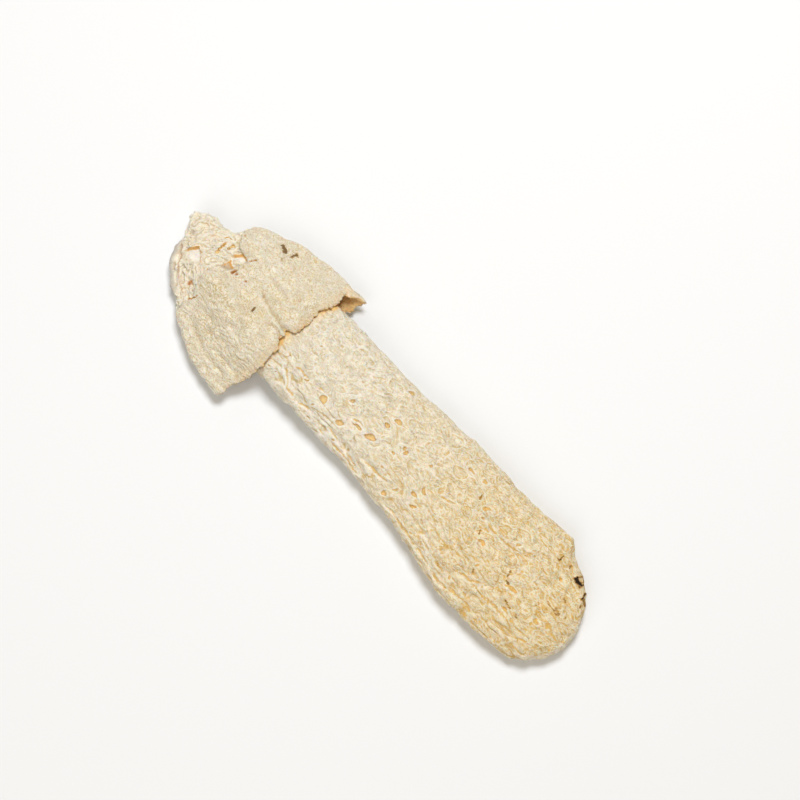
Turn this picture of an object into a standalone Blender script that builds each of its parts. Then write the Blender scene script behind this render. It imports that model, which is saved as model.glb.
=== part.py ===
# A dried bamboo fungus lying on its side: a flattened spongy stipe whose narrow top end
# stands inside a bell-shaped cap, pressed flat, with a ragged margin and a lacy collar.
# Metres. +X runs from the cap's tip to the foot, +Y across, +Z up, and it rests on Z = 0.
# The shapes below are worked out in millimetres and turned into metres when a mesh is made.
import math

import bmesh
import bpy
import numpy as np
from mathutils import Vector, noise

MM = 0.001
SEED = 11

# Outlines seen from above, as (along, across) from the cap's tip to the far end.
STIPE_LOWER_EDGE = [
    (7.4, 1.0), (8.2, -5), (13, -10), (24, -13.2), (38, -15.2), (50, -15.8), (65, -15.3), (82, -14.5),
    (100, -14.8), (115, -15.4), (130, -18), (140, -18.6), (152, -17.8), (162, -16.5), (168, -13.2),
    (172.5, -7.5), (174.6, -2), (175, 1.5),
]
STIPE_UPPER_EDGE = [
    (7.4, 1.0), (8.2, 4.2), (13, 8.2), (24, 12.8), (38, 15.8), (50, 16.8), (65, 17.8), (82, 18.6),
    (100, 20), (115, 21.2), (130, 21.2), (142, 22.2), (151.5, 24.2), (156, 20.6), (163, 18),
    (169, 13.2), (173.3, 7), (175, 1.5),
]
CAP_LOWER_FOLD = [
    (-4.6, 2.2), (-3.2, -0.8), (-0.6, -4), (1.6, -9.5), (6.6, -15), (12.6, -18.6), (18.2, -22.5),
    (26, -26.2), (34, -28.7), (41, -29.6), (46.4, -29.8),
]
CAP_UPPER_FOLD = [
    (-4.6, 2.2), (-2.6, 5.0), (2.0, 6.9), (7, 7.6), (11, 9.8), (12.6, 14.0), (17, 16.9),
    (23, 19.0), (30, 21.8), (40, 23.9), (50, 24.8),
]
# How far the cap's margin stands past the straight line between its folds: (across, along).
CAP_MARGIN_ABOVE = [
    (-29.4, -0.6), (-26, -0.4), (-21, 0.3), (-13.5, 1.2), (-8, -0.6), (-4.5, -1.2), (-2, -2.6),
    (2, -1.0), (7, -0.8), (12, -1.6), (15, -0.8), (18.6, -1.4), (19.6, -3.2), (22, -0.2), (24.5, 3.6),
]
CAP_MARGIN_BELOW = [(-29.4, -0.6), (-15, -2.5), (0, -1.5), (14, 0.8), (24.5, 3.6)]

# Heights at places along the body: (along, height).
STIPE_TOP = [(7.4, 7.4), (16, 9.6), (30, 11.6), (50, 13.0), (75, 12.4), (120, 12.2), (150, 11.0), (175, 8.8)]
STIPE_BOTTOM = [(7.4, 3.4), (16, 2.9), (50, 2.4), (64, 1.1), (78, -0.15), (150, -0.15), (175, 0.6)]
STIPE_TOP_ROUNDING, STIPE_FOOT_ROUNDING = 4.0, 9.0  # lengths over which its two ends thin down
STIPE_SIDE_HEIGHT = 0.44  # where its side edges run, as a share of the way from its bottom to its top
STIPE_SQUARENESS = (0.86, 0.8)  # powers under 1 that make its oval section boxier, across and in height
CAP_CROWN = [(-4.6, 8.4), (3, 9.8), (12, 11.9), (25, 13.1), (38, 14.2), (50, 14.9)]
CAP_UNDERSIDE = 0.25
CAP_FOLD_HEIGHT = 5.4
CAP_SQUARENESS = (0.9, 0.5)
CAP_WALL = [(6, 2.6), (14, 2.4), (24, 1.3), (50, 1.3)]  # thick round the collar, thin at the margin
CAP_WING = 2.2  # half the thickness of the pressed double layer beside the stipe
CAP_HUG = [(-4.6, 5.0), (8, 10.0), (25, 15.8), (50, 18.6)]  # half width of the rise over the stipe
CAP_HUG_SHARPNESS = 7
CAP_CENTRE = [(-4.6, 2.0), (15, 0.0), (50, 0.5)]
CAP_INNER_START, CAP_INNER_SHARE = 5.8, 0.17  # where its inside begins, along it and as a share
CAP_TIP_ROUNDING = 8.0  # length over which the hood's closed end thins down to its tip
MARGIN_TEETH = 1.3
MARGIN_LIP = 0.25
TURN_SHARE, BACK_SHARE = 0.55, 0.57  # shares of the sweep at which it turns round the margin

# The torn window, slits and holes of the collar round the cap's tip, and the collar's edge.
COLLAR_EDGE = [
    (-18, 16.5), (-16, 18.0), (-13, 15.5), (-9, 14.5), (-5, 15.0), (-1.5, 16.8), (0.5, 19.8),
    (2.5, 20.5), (4.5, 21.5), (5.5, 16.0), (7, 14.5), (9, 13.0), (12, 12.0),
]
COLLAR_DROP = 0.7
LACE_SIZE, LACE_STRETCH, LACE_LINES, LACE_HEIGHT = 3.6, 1.4, 2.0, 0.6  # ridges of the collar
WINDOW_CORNERS = [(4.4, -7.2), (6.5, -3.0), (10.0, -5.0)]
WINDOW_DEPTH, WINDOW_REACH = 1.3, 6.5
SLITS = [  # from (along, across) to (along, across), width, depth
    ((11.6, 3.8), (12.0, -1.0), 0.8, 1.2),
    ((14.0, 5.2), (14.2, 1.8), 0.8, 1.1),
    ((16.6, 3.0), (18.8, 5.0), 0.9, 1.2),
    ((18.8, 5.0), (22.8, 6.8), 0.8, 1.0),
    ((16.8, 0.4), (19.8, 0.2), 1.2, 1.2),
    ((21.0, 0.2), (21.0, -1.6), 0.9, 1.0),
    ((30.0, 2.2), (38.0, 0.2), 0.9, 0.5),
    ((38.0, 0.2), (47.0, -1.0), 1.0, 0.7),
    ((40.5, -4.6), (43.0, -2.9), 0.9, 0.6),
    ((43.0, -2.9), (47.5, -4.2), 0.9, 0.6),
]
NET_CELL, NET_HEIGHT = 3.4, 0.42  # raised net of the felt
PLEAT_SIZE, PLEAT_STRETCH, PLEAT_LINES, PLEAT_HEIGHT = 5.0, 4.0, 2.2, 0.35
CAP_SWELL_SIZE, CAP_SWELL_STRETCH, CAP_SWELL_HEIGHT = 11.0, 1.2, 0.45
DEEPEST_IN_WALL = 0.55  # share of the wall that no tear goes below

# Pores that show on the stipe's upper side: (along, across, half length, half width).
PORES = [
    (61.2, -6.0, 1.2, 0.9), (69.5, -6.0, 1.6, 1.4), (73.5, 6.7, 1.0, 0.9), (78.0, -7.0, 1.5, 1.0),
    (82.5, -3.6, 2.3, 1.2), (88.3, 3.3, 1.3, 1.2), (89.8, 6.5, 1.3, 1.2), (88.2, -2.8, 2.1, 1.2),
    (97.5, 2.1, 1.7, 1.0), (95.5, -1.2, 1.1, 0.9), (85.5, 16.0, 1.1, 0.8), (106.8, 4.9, 0.9, 0.9),
    (103.5, -11.0, 1.3, 1.2), (110.0, -4.5, 1.4, 0.9), (110.8, -1.2, 1.9, 1.0), (115.3, 13.7, 1.4, 0.9),
    (123.7, 10.3, 0.9, 0.9), (127.5, 9.3, 1.2, 0.9), (131.3, 3.0, 1.1, 0.9), (134.0, 1.2, 1.7, 0.9),
    (151.5, -1.3, 1.6, 0.9), (153.5, -6.7, 1.4, 0.9), (162.0, -2.0, 1.3, 0.9), (158.0, 12.5, 1.1, 0.8),
    (162.5, 16.6, 1.4, 1.2), (168.2, 14.0, 1.0, 0.9), (112.5, -7.2, 1.6, 0.9), (147.0, 0.6, 0.9, 0.9),
]
SIDE_PORES = 80
PORE_SPACING = 7.5
PORE_DEPTH, PORE_RIM = 1.2, 0.25
SPONGE_CELL, SPONGE_STRETCH, SPONGE_HEIGHT = 3.6, 1.8, 0.75
SPONGE_BEND, SPONGE_BEND_SIZE = 2.2, 8.0
WRINKLE_SIZE, WRINKLE_STRETCH, WRINKLE_LINES, WRINKLE_HEIGHT = 9.0, 1.9, 3.0, 0.7
STIPE_SWELL_SIZE, STIPE_SWELL_STRETCH, STIPE_SWELL_HEIGHT = 17.0, 1.6, 0.7
CALM_IN_CAP = 0.8  # share of the stipe's relief that is left out where the cap covers it
CREASES = [  # long sunken lines on the stipe: from, to, width, depth
    ((48, -3.6), (61, -5.6), 1.1, 0.9),
    ((61, -5.6), (72, -4.2), 1.0, 0.8),
    ((55, -7.5), (64, -12.2), 1.3, 1.0),
    ((64, -12.2), (84, -10.8), 1.3, 1.0),
    ((84, -10.8), (98, -13.2), 1.3, 1.0),
    ((91, -9.0), (103, -8.2), 1.1, 0.8),
    ((112, 1.0), (124, 4.8), 1.3, 0.8),
    ((128, 6.4), (146, 8.2), 1.3, 0.9),
    ((135, -9.6), (146, -6.0), 1.3, 0.9),
]

# The flat spot under the stipe's middle, kept smooth.
REST_SPOT = (112.0, 2.5)
REST_RADIUS = 7.0
TOUCHING = 0.06  # what stands less than this above the surface is set down on it

STIPE_RINGS, STIPE_AROUND = 200, 96
CAP_RINGS, CAP_AROUND = 220, 128
REMESH_SIZE, SMOOTH_STEPS = 0.7, 4
STIPE_TRIANGLES, CAP_TRIANGLES = 10800, 6800


def clear_scene():
    for obj in list(bpy.data.objects):
        bpy.data.objects.remove(obj)


def make_material(name, colour, roughness):
    material = bpy.data.materials.new(name)
    material.use_nodes = True
    shader = material.node_tree.nodes["Principled BSDF"]
    shader.inputs["Base Color"].default_value = (*colour, 1.0)
    shader.inputs["Roughness"].default_value = roughness
    shader.inputs["Metallic"].default_value = 0.0
    return material


def smooth_step(value, low, high):
    share = np.clip((value - low) / (high - low), 0.0, 1.0)
    return share * share * (3.0 - 2.0 * share)


def along_table(table, where):
    """Reads a (place, value) table at a place or at an array of places."""
    places, values = zip(*table)
    return np.interp(where, places, values)


def smooth_line(corners, share):
    """The point at a share of the length of a Catmull-Rom curve through the corners."""
    knots = [Vector(c) for c in corners]
    knots = [2 * knots[0] - knots[1], *knots, 2 * knots[-1] - knots[-2]]
    lengths = [0.0]
    for a, b in zip(knots[1:-2], knots[2:-1]):
        lengths.append(lengths[-1] + (b - a).length)
    target = share * lengths[-1]
    span = max(i for i in range(len(lengths) - 1) if lengths[i] <= target + 1e-9)
    t = (target - lengths[span]) / (lengths[span + 1] - lengths[span])
    p0, p1, p2, p3 = knots[span : span + 4]
    return 0.5 * (
        2 * p1 + (p2 - p0) * t + (2 * p0 - 5 * p1 + 4 * p2 - p3) * t**2 + (3 * p1 - p0 - 3 * p2 + p3) * t**3
    )


def rounding(distance, length):
    """0 at a closed end and 1 past the given length from it, along a quarter circle."""
    return math.sqrt(1 - (1 - min(1.0, max(0.0, distance) / length)) ** 2)


def signed_power(value, power):
    return math.copysign(abs(value) ** power, value)


def stipe_point(share, angle):
    """A point of the smooth stipe: a squashed tube between its two side edges."""
    lower = smooth_line(STIPE_LOWER_EDGE, share)
    upper = smooth_line(STIPE_UPPER_EDGE, share)
    middle, half = (lower + upper) / 2, (upper - lower) / 2
    x, y = middle + half * signed_power(math.cos(angle), STIPE_SQUARENESS[0])
    top = along_table(STIPE_TOP, x)
    bottom = along_table(STIPE_BOTTOM, x)
    edge = bottom + STIPE_SIDE_HEIGHT * (top - bottom)
    thin = rounding(x - STIPE_TOP[0][0], STIPE_TOP_ROUNDING)
    thin = min(thin, rounding(STIPE_TOP[-1][0] - x, STIPE_FOOT_ROUNDING))
    rise = (top - edge) if math.sin(angle) > 0 else (edge - bottom)
    return Vector((x, y, edge + rise * thin * signed_power(math.sin(angle), STIPE_SQUARENESS[1])))


def cap_point(share, angle, inner):
    """A point of the hood's outer skin, or of its inner skin, at a share of the way from tip to margin."""
    lower = smooth_line(CAP_LOWER_FOLD, share)
    upper = smooth_line(CAP_UPPER_FOLD, share)
    middle, half = (lower + upper) / 2, (upper - lower) / 2
    wall = along_table(CAP_WALL, middle.x) if inner else 0.0
    half *= 1 - wall / max(half.length, 2 * wall + 1e-6)
    x, y = middle + half * signed_power(math.cos(angle), CAP_SQUARENESS[0])
    above = math.sin(angle) > 0
    x += along_table(CAP_MARGIN_ABOVE if above else CAP_MARGIN_BELOW, y) * share**3
    teeth = noise.noise(Vector((y / 1.9, 3.0 if above else 9.0, 0.0)))
    teeth += 0.7 * noise.noise(Vector((y / 4.5, 5.0, 0.0)))
    x += MARGIN_TEETH * teeth * share**8
    thin = rounding(x - (CAP_INNER_START if inner else CAP_LOWER_FOLD[0][0]), CAP_TIP_ROUNDING)
    aside = abs(y - along_table(CAP_CENTRE, x)) / (along_table(CAP_HUG, x) - wall)
    hug = 1 / (1 + aside**CAP_HUG_SHARPNESS)
    rise = abs(math.sin(angle)) ** CAP_SQUARENESS[1]
    wing = max(0.25, CAP_WING - wall) * rise
    if above:
        crown = along_table(CAP_CROWN, x) - CAP_FOLD_HEIGHT - CAP_WING
        z = CAP_FOLD_HEIGHT + thin * (wing + crown * hug * rise)
    else:
        drop = CAP_FOLD_HEIGHT - CAP_WING - CAP_UNDERSIDE
        z = CAP_FOLD_HEIGHT - thin * (wing + drop * hug * rise)
    return Vector((x, y, z))


def hood_point(share, angle):
    """The whole hood in one sweep: out over the outer skin, round the margin, and back inside."""
    if share <= TURN_SHARE:
        return cap_point(share / TURN_SHARE, angle, False)
    if share < BACK_SHARE:
        rim = (cap_point(1.0, angle, False) + cap_point(1.0, angle, True)) / 2
        return rim + Vector((MARGIN_LIP, 0.0, 0.0))
    ahead = (1 - share) / (1 - BACK_SHARE)
    return cap_point(CAP_INNER_SHARE + (1 - CAP_INNER_SHARE) * ahead, angle, True)


def swept_body(name, place, rings, around):
    """A closed body made from a sphere whose points move to place(share from pole to pole, angle)."""
    mesh = bpy.data.meshes.new(name)
    bm = bmesh.new()
    bmesh.ops.create_uvsphere(bm, u_segments=around, v_segments=rings, radius=1.0)
    for vert in bm.verts:
        share = math.acos(max(-1.0, min(1.0, vert.co.z))) / math.pi
        vert.co = place(share, math.atan2(vert.co.y, vert.co.x)) * MM
    bmesh.ops.recalc_face_normals(bm, faces=bm.faces)
    bm.to_mesh(mesh)
    bm.free()
    obj = bpy.data.objects.new(name, mesh)
    bpy.context.collection.objects.link(obj)
    return obj


def apply_modifiers(obj):
    bpy.context.view_layer.update()
    graph = bpy.context.evaluated_depsgraph_get()
    mesh = bpy.data.meshes.new_from_object(obj.evaluated_get(graph))
    obj.modifiers.clear()
    obj.data = mesh


def remesh_evenly(obj):
    """Replaces the mesh by one of even small faces, so that relief can be raised anywhere on it."""
    remesh = obj.modifiers.new("even", "REMESH")
    remesh.mode = "VOXEL"
    remesh.voxel_size = REMESH_SIZE * MM
    smooth = obj.modifiers.new("smooth", "SMOOTH")
    smooth.iterations = SMOOTH_STEPS
    apply_modifiers(obj)


def points_and_normals(obj):
    count = len(obj.data.vertices)
    points = np.empty(count * 3)
    normals = np.empty(count * 3)
    obj.data.vertices.foreach_get("co", points)
    obj.data.vertices.foreach_get("normal", normals)
    return points.reshape(-1, 3) / MM, normals.reshape(-1, 3)


def raise_relief(obj, points, normals, height):
    """Moves each point along its normal, and presses flat whatever would sink below the surface."""
    moved = points + normals * height[:, None]
    moved[:, 2] = np.maximum(moved[:, 2], 0.0)
    obj.data.vertices.foreach_set("co", (moved * MM).ravel())
    obj.data.update()


def groove(points, start, end, width, depth):
    """The depth of a groove between two places, seen from above."""
    a, b = np.array(start), np.array(end)
    ahead = np.clip(((points[:, :2] - a) @ (b - a)) / ((b - a) @ (b - a)), 0, 1)
    distance = np.linalg.norm(points[:, :2] - a - ahead[:, None] * (b - a), axis=1)
    return depth * (1 - smooth_step(distance, 0.3 * width, 1.3 * width))


def wavy(points, size, stretch, offset):
    """Smooth noise whose features are size wide and stretch times as long."""
    scale = np.array([1 / (size * stretch), 1 / size, 1 / size])
    return np.array([noise.noise(Vector(p) + Vector((offset, 0, 0))) for p in points * scale])


def folds(points, size, stretch, lines, offset):
    """Narrow raised folds that follow the level lines of smooth noise."""
    level = wavy(points, size, stretch, offset) * lines
    return 1 - np.abs(2 * (level - np.floor(level)) - 1)


def pore_places(points, normals):
    """The centres of all pores, the seen ones first and then the seeded ones round the rest."""
    upward = np.where(normals[:, 2] > 0.3, 0.0, 1e6)
    places = []
    for x, y, length, width in PORES:
        near = np.argmin((points[:, 0] - x) ** 2 + (points[:, 1] - y) ** 2 + upward)
        places.append((points[near], length, width))
    draw = np.random.default_rng(SEED)
    hidden = np.flatnonzero((normals[:, 2] < 0.25) & (points[:, 0] > 52) & (points[:, 0] < 170))
    for index in draw.permutation(hidden):
        if len(places) == len(PORES) + SIDE_PORES:
            break
        length = draw.uniform(1.0, 2.2)
        centre = points[index]
        if np.hypot(centre[0] - REST_SPOT[0], centre[1] - REST_SPOT[1]) < REST_RADIUS + 2:
            continue
        if all(np.linalg.norm(centre - other[0]) > PORE_SPACING for other in places):
            places.append((centre, length, length * draw.uniform(0.6, 0.9)))
    return places


def sponge(points):
    """The stipe's open network of walls, drawn out along its length and bent by slow noise."""
    bends = [wavy(points, SPONGE_BEND_SIZE, 1.0, offset) for offset in (20.0, 30.0, 40.0)]
    bent = points + SPONGE_BEND * np.stack(bends, axis=1)
    return net(bent / (SPONGE_STRETCH, 1.0, 1.0), SPONGE_CELL)


def stipe_relief(points, normals):
    """Sponge, folds, long creases and pores, as a height along the normal."""
    foot = smooth_step(points[:, 0], 80, 140)
    shape = STIPE_SWELL_HEIGHT * wavy(points, STIPE_SWELL_SIZE, STIPE_SWELL_STRETCH, 4.0)
    shape += SPONGE_HEIGHT * (0.6 + 0.4 * foot) * (sponge(points) - 0.6)
    wrinkles = folds(points, WRINKLE_SIZE, WRINKLE_STRETCH, WRINKLE_LINES, 1.5)
    shape += WRINKLE_HEIGHT * (0.5 + 0.5 * foot) * (wrinkles - 0.6)
    for crease in CREASES:
        shape -= np.where(normals[:, 2] > 0, groove(points, *crease), 0)
    for centre, length, width in pore_places(points, normals):
        offset = points - centre
        near = np.sqrt((offset[:, 0] / length) ** 2 + (offset[:, 1] ** 2 + offset[:, 2] ** 2) / width**2)
        shape -= PORE_DEPTH * (1 - smooth_step(near, 0.45, 1.15))
        shape += PORE_RIM * np.exp(-(((near - 1.45) / 0.3) ** 2))
    from_spot = np.hypot(points[:, 0] - REST_SPOT[0], points[:, 1] - REST_SPOT[1])
    shape *= np.where(normals[:, 2] < -0.5, smooth_step(from_spot, REST_RADIUS, REST_RADIUS + 5), 1)
    covered = 1 - smooth_step(points[:, 0], 44, 52)
    return shape * (1 - CALM_IN_CAP * covered)


def window_depth(points):
    """A torn pocket, deep under its two upper edges and running out towards the margin."""
    left, tip, right = (np.array(c) for c in WINDOW_CORNERS)
    depth = np.full(len(points), WINDOW_DEPTH)
    for a, b in ((left, tip), (tip, right)):
        edge = (b - a) / np.linalg.norm(b - a)
        inward = (points[:, 0] - a[0]) * edge[1] - (points[:, 1] - a[1]) * edge[0]
        depth *= smooth_step(inward, 0.1, 0.9)
    distance = np.linalg.norm(points[:, :2] - tip, axis=1)
    return depth * (1 - smooth_step(distance, 0.45 * WINDOW_REACH, WINDOW_REACH))


def net(points, cell):
    """Raised net: 1 on the walls between irregular cells, 0 in their middles."""
    walls = np.empty(len(points))
    for i, point in enumerate(points / cell):
        distances, _ = noise.voronoi(Vector(point))
        walls[i] = distances[1] - distances[0]
    return 1 - smooth_step(walls, 0.05, 0.45)


def cap_relief(points, normals, inner):
    """Net, pleats, collar and tears on the hood's outer skin. The inner skin stays plain."""
    edge_of_collar = along_table(COLLAR_EDGE, points[:, 1])
    felt = smooth_step(points[:, 0] - edge_of_collar, -0.2, 0.9)
    above = normals[:, 2] > 0.1
    felt = np.where(above, felt, smooth_step(points[:, 0], 9, 12))
    shape = NET_HEIGHT * net(points, NET_CELL) * felt + COLLAR_DROP * (felt - 1)
    lace = folds(points, LACE_SIZE, LACE_STRETCH, LACE_LINES, 9.0)
    shape += LACE_HEIGHT * (lace - 0.5) * (1 - felt)
    pleats = folds(points, PLEAT_SIZE, PLEAT_STRETCH, PLEAT_LINES, 7.0)
    towards_edge = 0.4 + 0.6 * smooth_step(-points[:, 1], 5, 12)
    shape += PLEAT_HEIGHT * towards_edge * (pleats - 0.5) * felt
    shape += CAP_SWELL_HEIGHT * wavy(points, CAP_SWELL_SIZE, CAP_SWELL_STRETCH, 2.0)
    torn = np.max([groove(points, *slit) for slit in SLITS] + [window_depth(points)], axis=0)
    shape -= np.where(above, torn, 0)
    shape = np.maximum(shape, -DEEPEST_IN_WALL * along_table(CAP_WALL, points[:, 0]))
    return np.where(inner, 0.0, shape)


def is_inner_skin(obj, points):
    """True for points that belong to the hood's inside: their normals look towards its middle line."""
    _, normals = points_and_normals(obj)
    axis_y = along_table(CAP_CENTRE, points[:, 0])
    across = 0.25 * (points[:, 1] - axis_y)
    upwards = points[:, 2] - CAP_FOLD_HEIGHT
    return normals[:, 1] * across + normals[:, 2] * upwards < 0


def make_stipe():
    stipe = swept_body("stipe", stipe_point, STIPE_RINGS, STIPE_AROUND)
    remesh_evenly(stipe)
    points, normals = points_and_normals(stipe)
    raise_relief(stipe, points, normals, stipe_relief(points, normals))
    stipe.data.materials.append(make_material("stipe_cream", (0.80, 0.70, 0.52), 0.85))
    return stipe


def make_cap():
    cap = swept_body("cap", hood_point, CAP_RINGS, CAP_AROUND)
    remesh_evenly(cap)
    points, normals = points_and_normals(cap)
    inner = is_inner_skin(cap, points)
    raise_relief(cap, points, normals, cap_relief(points, normals, inner))
    cap.data.materials.append(make_material("cap_felt", (0.76, 0.65, 0.45), 0.92))
    return cap


def thin_out(obj, triangles):
    """Keeps the faces where the relief needs them, joins them up elsewhere, and sets the part down flat."""
    decimate = obj.modifiers.new("thin out", "DECIMATE")
    decimate.use_collapse_triangulate = True
    decimate.ratio = triangles / (2 * len(obj.data.polygons))
    apply_modifiers(obj)
    for vert in obj.data.vertices:
        if vert.co.z < TOUCHING * MM:
            vert.co.z = 0.0
    obj.data.shade_smooth()


def centre_on_origin(parts):
    """Moves the parts so that the middle of their footprint is the origin."""
    corners = np.concatenate([points_and_normals(part)[0] for part in parts])
    middle = (corners.min(axis=0) + corners.max(axis=0)) / 2 * MM
    for part in parts:
        part.data.transform(part.matrix_world.Translation(Vector((-middle[0], -middle[1], 0.0))))


clear_scene()
parts = [make_stipe(), make_cap()]
centre_on_origin(parts)
thin_out(parts[0], STIPE_TRIANGLES)
thin_out(parts[1], CAP_TRIANGLES)
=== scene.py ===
import math

import bmesh
import bpy
import numpy as np
from mathutils import Matrix, Vector, noise


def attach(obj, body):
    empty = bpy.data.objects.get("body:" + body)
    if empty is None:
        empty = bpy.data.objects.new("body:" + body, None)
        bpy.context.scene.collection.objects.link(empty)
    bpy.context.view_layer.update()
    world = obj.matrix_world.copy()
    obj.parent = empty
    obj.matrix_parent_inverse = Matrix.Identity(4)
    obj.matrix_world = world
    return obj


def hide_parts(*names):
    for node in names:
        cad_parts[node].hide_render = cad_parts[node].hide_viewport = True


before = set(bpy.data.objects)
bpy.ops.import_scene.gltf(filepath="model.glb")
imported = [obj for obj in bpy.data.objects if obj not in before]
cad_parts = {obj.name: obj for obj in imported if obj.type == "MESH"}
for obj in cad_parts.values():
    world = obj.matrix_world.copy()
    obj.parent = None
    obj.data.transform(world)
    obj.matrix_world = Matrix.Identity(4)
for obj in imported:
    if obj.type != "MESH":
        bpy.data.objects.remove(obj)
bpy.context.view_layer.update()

mm = 0.001
# Places are in mm from the cap's tip, along the body and across it. The frame's origin lies here:
middleFromTip = np.array([85.66, -2.61, 0.0])


# Helpers that shape a skin from its points.
def smoothStep(value, low, high):
    share = np.clip((value - low) / (high - low), 0.0, 1.0)
    return share * share * (3.0 - 2.0 * share)


def between(first, second, share):
    return first + (second - first) * share


def bell(distance, width):
    return np.exp(-((distance / width) ** 2))


def readAlong(table, where):
    places, values = zip(*table)
    return np.interp(where, places, values)


# smooth noise in about -1 to 1, drawn out along the body by stretch
def softNoise(points, size, stretch=1.0, offset=0.0):
    scaled = points / (size * stretch, size, size) + (offset, 0.0, 0.0)
    return np.array([noise.noise(point) for point in scaled.tolist()])


# smooth noise of several sizes, from rows of size, stretch, offset and height
def addedNoise(points, rows):
    return sum(high * softNoise(points, *shape) for *shape, high in rows)


def bent(points, size, amount, offset):
    shift = [softNoise(points, size, 1.0, offset + 10.0 * axis) for axis in range(3)]
    return points + amount * np.stack(shift, axis=1)


# thin ridges that follow the level lines of smooth noise: 1 on a crest, 0 in a valley
def levelRidges(points, size, stretch, lines, offset):
    level = softNoise(points, size, stretch, offset) * lines
    return 1.0 - np.abs(2.0 * (level - np.floor(level)) - 1.0)


# the points turned about the upright axis, so that a pattern drawn out along the body runs aslant
def turned(points, degrees):
    turn = math.radians(degrees)
    along = math.cos(turn) * points[:, 0] + math.sin(turn) * points[:, 1]
    across = math.cos(turn) * points[:, 1] - math.sin(turn) * points[:, 0]
    return np.stack([along, across, points[:, 2]], axis=1)


# overlapping layers along the level lines of smooth noise: each rises slowly and drops off at its edge
def layers(points, size, stretch, lines, offset):
    level = softNoise(points, size, stretch, offset) * lines
    share = level - np.floor(level)
    return 1.25 * share * (1.0 - smoothStep(share, 0.78, 1.0))


# 1 on the walls between irregular cells, 0 in their middles
def cellWalls(points, cell, stretch, thin, thick):
    scaled = points / (cell * stretch, cell, cell)
    gaps = np.array([noise.voronoi(point)[0] for point in scaled.tolist()])
    return 1.0 - smoothStep(gaps[:, 1] - gaps[:, 0], thin, thick)


# seen from above: how far each point is from a line through corners, and a taper towards its ends
def readLine(points, corners):
    nearest, place, behind = np.full(len(points), 1e6), np.zeros(len(points)), 0.0
    for start, end in zip(corners[:-1], corners[1:]):
        start, run = np.array(start), np.subtract(end, start)
        length = np.linalg.norm(run)
        share = np.clip(((points[:, :2] - start) @ run) / length**2, 0.0, 1.0)
        away = np.linalg.norm(points[:, :2] - start - share[:, None] * run, axis=1)
        place = np.where(away < nearest, behind + share * length, place)
        nearest = np.minimum(nearest, away)
        behind += length
    share = place / behind
    return nearest, smoothStep(np.minimum(share, 1.0 - share), -0.06, 0.22)


# values averaged with their neighbours' along the mesh's edges, in a number of steps
def blurred(values, edges, steps):
    ends = np.concatenate([edges, edges[:, ::-1]])
    counts = np.bincount(ends[:, 0], minlength=len(values))[:, None] + 1.0
    for _ in range(steps):
        total = values.copy()
        for column in range(values.shape[1]):
            total[:, column] += np.bincount(ends[:, 0], values[ends[:, 1], column], len(values))
        values = total / counts
    return values


# drops the specks that an even mesh can leave, and keeps its largest body
def keepLargestBody(mesh):
    bm = bmesh.new()
    bm.from_mesh(mesh)
    bodies, unseen = [], dict.fromkeys(bm.verts)
    while unseen:
        # the body grows while its points are gone through
        body = [unseen.popitem()[0]]
        for vertex in body:
            for edge in vertex.link_edges:
                other = edge.other_vert(vertex)
                if other in unseen:
                    del unseen[other]
                    body.append(other)
        bodies.append(body)
    bodies.sort(key=len)
    specks = [vertex for body in bodies[:-1] for vertex in body]
    bmesh.ops.delete(bm, geom=specks, context="VERTS")
    bm.to_mesh(mesh)
    bm.free()


def putObject(name, data):
    made = bpy.data.objects.new(name, data)
    bpy.context.scene.collection.objects.link(made)
    return made


# A fine, even mesh over a CAD node, which then takes small relief.
def fineCopy(node, name, voxel, softening):
    bm = bmesh.new()
    bm.from_mesh(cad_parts[node].data)
    bmesh.ops.remove_doubles(bm, verts=bm.verts, dist=1e-6)
    mesh = bpy.data.meshes.new(name)
    bm.to_mesh(mesh)
    bm.free()
    piece = putObject(name, mesh)
    even = piece.modifiers.new("even", "REMESH")
    even.mode = "VOXEL"
    even.voxel_size = voxel
    soften = piece.modifiers.new("soften", "SMOOTH")
    soften.iterations = softening
    bpy.context.view_layer.update()
    graph = bpy.context.evaluated_depsgraph_get()
    fine = bpy.data.meshes.new_from_object(piece.evaluated_get(graph))
    piece.modifiers.clear()
    piece.data = fine
    fine.name = name
    keepLargestBody(fine)
    bpy.data.meshes.remove(mesh)
    return piece


def skinOf(piece):
    mesh = piece.data
    points, normals = np.empty(len(mesh.vertices) * 3), np.empty(len(mesh.vertices) * 3)
    edges = np.empty(len(mesh.edges) * 2, np.int64)
    mesh.vertices.foreach_get("co", points)
    mesh.vertices.foreach_get("normal", normals)
    mesh.edges.foreach_get("vertices", edges)
    return points.reshape(-1, 3) / mm + middleFromTip, normals.reshape(-1, 3), edges.reshape(-1, 2)


# moves each point out by a height in mm, and keeps the skin above the table
def raiseSkin(piece, points, normals, height):
    moved = points + normals * height[:, None] - middleFromTip
    moved[:, 2] = np.maximum(moved[:, 2], 0.0)
    piece.data.vertices.foreach_set("co", (moved * mm).ravel())
    piece.data.update()


# draws each point a share of the way to its place in a blurred skin, and reads the skin anew
def calmSkin(piece, share, steps):
    points, normals, edges = skinOf(piece)
    moved = share * (blurred(points, edges, steps) - points)
    raiseSkin(piece, points + moved, normals, np.zeros(len(points)))
    return skinOf(piece)


def storeFields(piece, fields):
    for name, values in fields.items():
        attribute = piece.data.attributes.new(name, "FLOAT", "POINT")
        attribute.data.foreach_set("value", values.astype(np.float32))


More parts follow.
